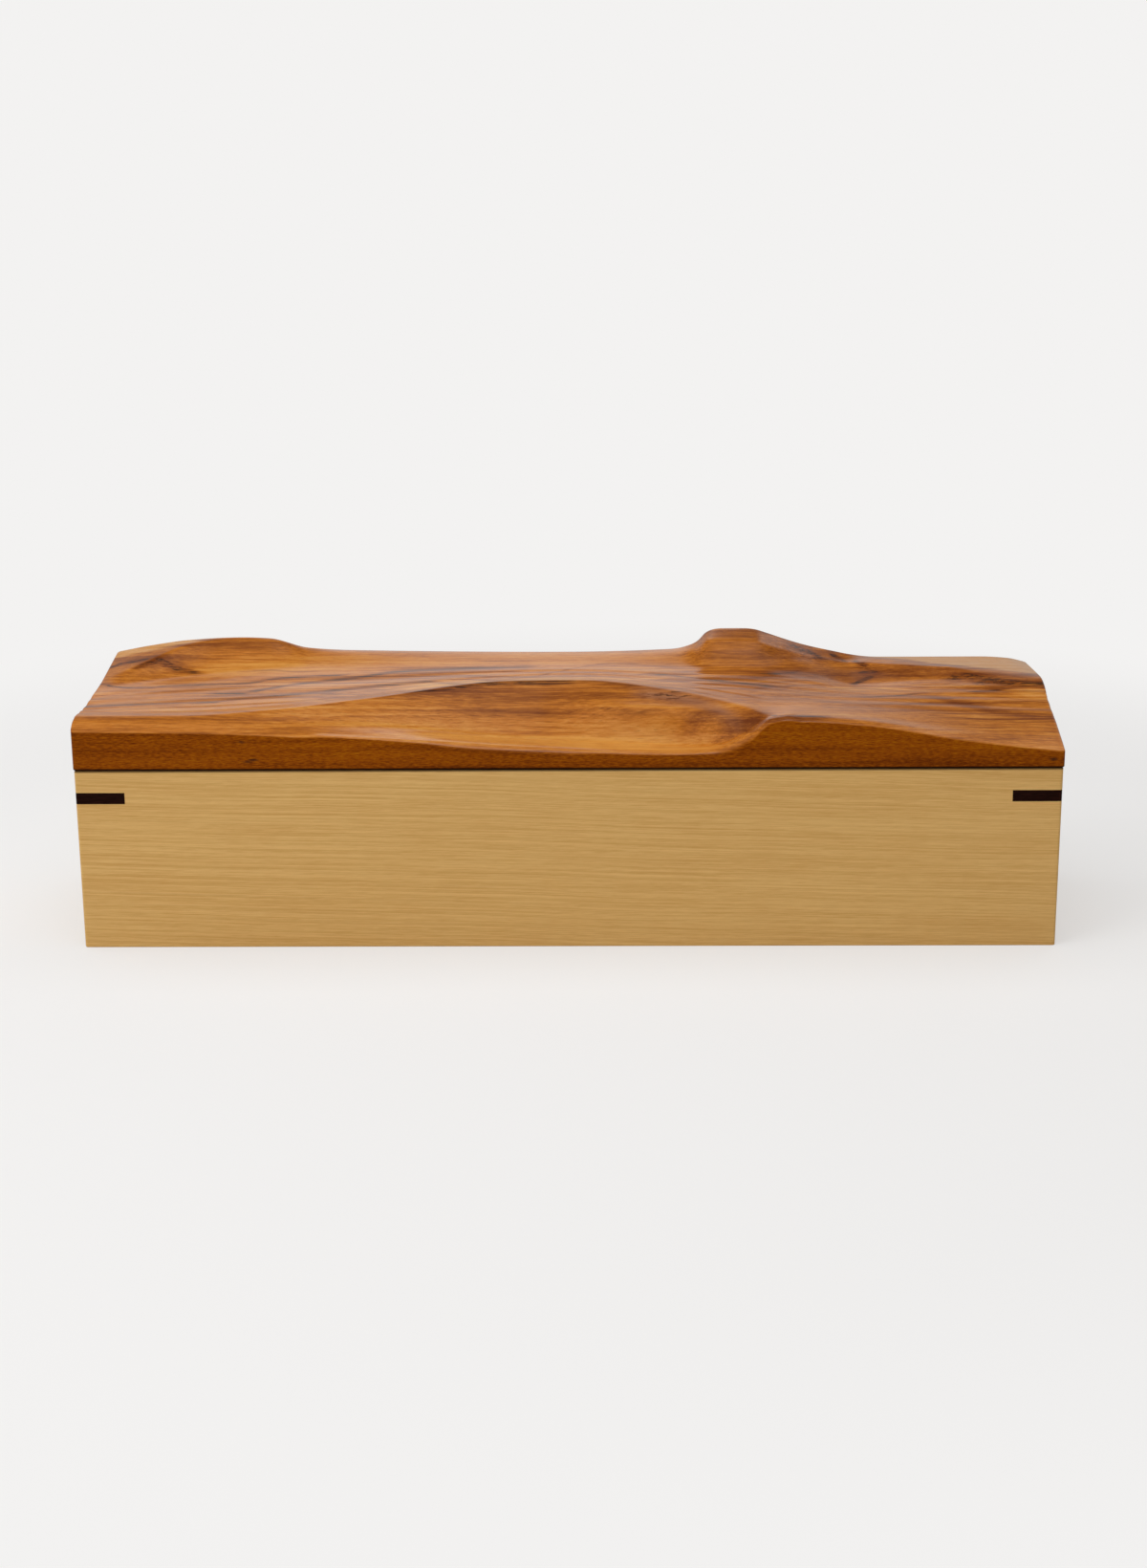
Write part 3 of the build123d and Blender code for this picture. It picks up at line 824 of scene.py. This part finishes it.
def lid_mesh(settings):
    """The carved lid: its top is a shaped grid, from which its faces, arrises and tongue are drawn down."""
    top = CarvedTop(settings)
    xs = eased_places(top.half_length, settings.end_ease, settings.mesh_step)
    ys = eased_places(top.half_depth, settings.end_ease, settings.mesh_step)
    piece = add_grid("carved_lid_dressed", len(xs), len(ys))
    start = point_places(piece)
    column = np.rint((start[:, 0] + 1) / 2 * (len(xs) - 1)).astype(int)
    row = np.rint((start[:, 1] + 1) / 2 * (len(ys) - 1)).astype(int)
    x, y, inwards = rounded_plan(xs[column], ys[row], top.half_length, top.half_depth, settings.corner)
    ease = front_or_end_ease(np.column_stack([x, y]), top, settings)
    short = np.clip(ease - inwards, 0, None)
    z = top.height(x, y) - (ease - np.sqrt(np.clip(ease * ease - short * short, 0, None)))
    z = np.minimum(z, LID_HIGH.z)
    piece.data.vertices.foreach_set("co", np.column_stack([x, y, z]).astype(np.float32).ravel())
    piece.data.update()
    draw_down(settings)
    places = point_places(piece)
    below = top.height(places[:, 0], places[:, 1]) - places[:, 2]
    down = below / front_or_end_ease(places, top, settings)
    side = np.clip(1 - (1 - down) * SIDE_BLEND, 0, 1)
    store(piece, "side", side)
    for name, grid in top.looks().items():
        store(piece, name, (1 - side) * top.look_up(grid, places[:, 0], places[:, 1]))
    return piece


def draw_down(settings):
    """Draws the new grid's outline down to the lid's faces, underside and tongue, and closes it."""
    full = Vector((LID_HIGH.x, LID_HIGH.y))
    tongue = Vector(INNER_HALF) - Vector((settings.tongue_play, settings.tongue_play))
    bpy.ops.object.mode_set(mode="EDIT")
    bpy.ops.mesh.select_mode(type="EDGE")
    bpy.ops.mesh.select_all(action="SELECT")
    bpy.ops.mesh.region_to_loop()
    bpy.ops.mesh.extrude_region_move(TRANSFORM_OT_translate={"value": (0, 0, -FIRST_RING_DROP)})
    eased = draw_face(full, LID_UNDERSIDE, settings.low_ease, LOW_ARRIS_RINGS)
    draw_ring(LID_UNDERSIDE, eased, tongue)
    draw_face(tongue, LID_LOW.z, settings.tongue_ease, TONGUE_ARRIS_RINGS)
    bpy.ops.mesh.edge_face_add()
    bpy.ops.mesh.select_all(action="SELECT")
    bpy.ops.mesh.normals_make_consistent(inside=False)
    bpy.ops.object.mode_set(mode="OBJECT")
    bpy.ops.object.shade_smooth_by_angle(angle=SMOOTH_ANGLE)


def draw_face(outline, bottom, ease, rings):
    """Draws the loop down a face and over its eased lower arris; gives the half size that it ends at."""
    draw_ring(bottom + ease, outline, outline)
    size = outline
    for n in range(1, rings + 1):
        angle = n / rings * pi / 2
        smaller = outline - Vector((ease, ease)) * (1 - cos(angle))
        draw_ring(bottom + ease * (1 - sin(angle)), size, smaller)
        size = smaller
    return size


def draw_ring(level, size, new_size):
    """Extrudes the selected loop to a level, laid flat and scaled in plan from one half size to another."""
    bpy.ops.mesh.extrude_region_move()
    scale = (new_size.x / size.x, new_size.y / size.y, 0)
    bpy.ops.transform.resize(value=scale, center_override=(0, 0, level))


class KEEPSAKE_OT_carved_lid(Operator):
    """Models the carved lid and gives it its wood"""

    bl_idname = "keepsake.carved_lid"
    bl_label = "Carved lid"

    def execute(self, context):
        settings = context.scene.keepsake_lid
        lid = lid_mesh(settings)
        lid.data.materials.append(lid_wood(settings))
        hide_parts("carved_lid")
        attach(lid, "lid")
        return {"FINISHED"}


class KEEPSAKE_OT_boards(Operator):
    """Gives the four mitred boards and the bottom panel their wood"""

    bl_idname = "keepsake.boards"
    bl_label = "Boards"

    def execute(self, context):
        settings = context.scene.keepsake_boards
        for n, (node, grain) in enumerate(BOARD_NODES.items()):
            dress(node, board_wood(settings, "pale_" + node, grain, BOARD_SEED_STEP * n))
        dress("bottom_panel", board_wood(settings, "pale_bottom_panel", "X", PANEL_SEED))
        return {"FINISHED"}


class KEEPSAKE_OT_keys(Operator):
    """Gives the four corner keys their dark wood"""

    bl_idname = "keepsake.keys"
    bl_label = "Corner keys"

    def execute(self, context):
        material = key_wood(context.scene.keepsake_keys)
        for node in KEY_NODES:
            dress(node, material)
        return {"FINISHED"}


def floor_finish(settings):
    """Pale floor that shows the shadow near the box and fades to the even background further off."""
    finish = Finish("studio_floor")
    x, y, _ = finish.place()
    off = (x * x + y * y).root()
    matt = finish.node("ShaderNodeBsdfDiffuse", None, {"Color": linear(settings.floor)})
    seen = finish.node("ShaderNodeLightPath", output="Is Camera Ray")
    glossy = finish.node("ShaderNodeLightPath", output="Is Glossy Ray")
    mirrored = settings.front_gloss + y.step(*FLOOR_TURN) * (settings.backdrop - settings.front_gloss)
    strength = 1 - glossy * (1 - mirrored)
    even = finish.node("ShaderNodeEmission", None, {"Color": linear(settings.floor), "Strength": strength})
    glow = settings.floor_glow + off.step(*FLOOR_BLEND) * (1 - settings.floor_glow)
    share = glow * seen + glossy
    finish.node_output(finish.node("ShaderNodeMixShader", None, {0: share, 1: matt, 2: even}))
    return finish.material


def soft_lamp(name, place, target, size, power):
    """A square soft lamp that faces a target."""
    lamp = bpy.data.lights.new(name, "AREA")
    lamp.shape = "SQUARE"
    lamp.size = size
    lamp.energy = power
    holder = bpy.data.objects.new(name, lamp)
    bpy.context.scene.collection.objects.link(holder)
    holder.visible_glossy = False
    holder.visible_camera = False
    holder.location = place
    holder.rotation_euler = (Vector(target) - Vector(place)).to_track_quat("-Z", "Y").to_euler()


def room_light(settings):
    """Soft panels, a dim backdrop and a strip that only gloss mirrors; the camera sees a pale background."""
    room = Finish("studio_room", bpy.data.worlds)
    seen = room.node("ShaderNodeLightPath", output="Is Camera Ray")
    ahead = room.node("ShaderNodeTexCoord", output="Generated")
    x, y, z = room.parts(ahead)
    low = (1 - z.step(*BACKDROP_TOP)) * settings.backdrop
    left_panel = x.window(*LEFT_PANEL_X) * z.window(*LEFT_PANEL_Z) * settings.left_panel
    right_panel = x.window(*RIGHT_PANEL_X) * z.window(*RIGHT_PANEL_Z) * settings.right_panel
    behind = y.step(*BEHIND) * (low + left_panel + right_panel)
    overhead = z.step(*OVERHEAD_Z) * x.step(*OVERHEAD_X) * settings.overhead
    mirrored = room.node("ShaderNodeLightPath", output="Is Glossy Ray")
    strip = x.window(*STRIP_X) * y.window(*STRIP_Y) * z.step(*STRIP_Z)
    shown = settings.front_gloss + behind + overhead + strip * mirrored * settings.strip
    strength = seen + (1 - seen) * shown
    light = room.node("ShaderNodeBackground", None, {"Color": linear(settings.floor), "Strength": strength})
    room.node_output(light, "ShaderNodeOutputWorld")
    bpy.context.scene.world = room.material


def photo_camera(settings):
    """The camera at the photograph's place and angle."""
    data = bpy.data.cameras.new("camera")
    data.sensor_width = SENSOR
    data.lens = settings.focal_pixels / IMAGE_HEIGHT * SENSOR
    data.clip_start = 0.01
    data.clip_end = 50.0
    pitch, yaw, roll = settings.pitch, settings.yaw, settings.roll
    ahead = Vector((sin(yaw) * cos(pitch), cos(yaw) * cos(pitch), -sin(pitch)))
    level = Vector((cos(yaw), -sin(yaw), 0))
    below = ahead.cross(level)
    right = level * cos(roll) + below * sin(roll)
    down = below * cos(roll) - level * sin(roll)
    camera = bpy.data.objects.new("camera", data)
    bpy.context.scene.collection.objects.link(camera)
    turn = Matrix((right, -down, -ahead)).transposed()
    camera.matrix_world = Matrix.Translation(settings.camera_place) @ turn.to_4x4()
    bpy.context.scene.camera = camera


class KEEPSAKE_OT_stage(Operator):
    """Sets the floor, the soft lamps, the room's panels and the camera"""

    bl_idname = "keepsake.stage"
    bl_label = "Stage"

    def execute(self, context):
        settings = context.scene.keepsake_stage
        deselect_all()
        bpy.ops.mesh.primitive_circle_add(vertices=96, radius=settings.floor_radius, fill_type="NGON")
        floor = context.object
        floor.name = "studio_floor"
        floor.data.materials.append(floor_finish(settings))
        soft_lamp("top_lamp", *TOP_LAMP, settings.top_power)
        soft_lamp("side_lamp", *SIDE_LAMP, settings.side_power)
        room_light(settings)
        photo_camera(settings)
        context.scene.view_settings.view_transform = "Standard"
        return {"FINISHED"}


OPERATORS = [KEEPSAKE_OT_carved_lid, KEEPSAKE_OT_boards, KEEPSAKE_OT_keys, KEEPSAKE_OT_stage]


class KEEPSAKE_PT_panel(Panel):
    """Lists the steps that dress the box"""

    bl_idname = "KEEPSAKE_PT_panel"
    bl_label = "Keepsake Box"
    bl_space_type = "VIEW_3D"
    bl_region_type = "UI"
    bl_category = "Keepsake Box"

    def draw(self, context):
        for operator in OPERATORS:
            self.layout.operator(operator.bl_idname)


SETTINGS = {"keepsake_lid": LidSettings, "keepsake_boards": BoardSettings, "keepsake_keys": KeySettings,
            "keepsake_stage": StageSettings}
CLASSES = [*SETTINGS.values(), *OPERATORS, KEEPSAKE_PT_panel]


def register():
    """Registers the classes and hangs the settings on the scene."""
    for item in CLASSES:
        bpy.utils.register_class(item)
    for name, group in SETTINGS.items():
        setattr(bpy.types.Scene, name, PointerProperty(type=group))


def unregister():
    """Takes the settings and the classes away again."""
    for name in SETTINGS:
        delattr(bpy.types.Scene, name)
    for item in reversed(CLASSES):
        bpy.utils.unregister_class(item)


def main():
    """Builds every piece and the stage."""
    register()
    bpy.ops.keepsake.carved_lid()
    bpy.ops.keepsake.boards()
    bpy.ops.keepsake.keys()
    bpy.ops.keepsake.stage()


if __name__ == "__main__":
    main()
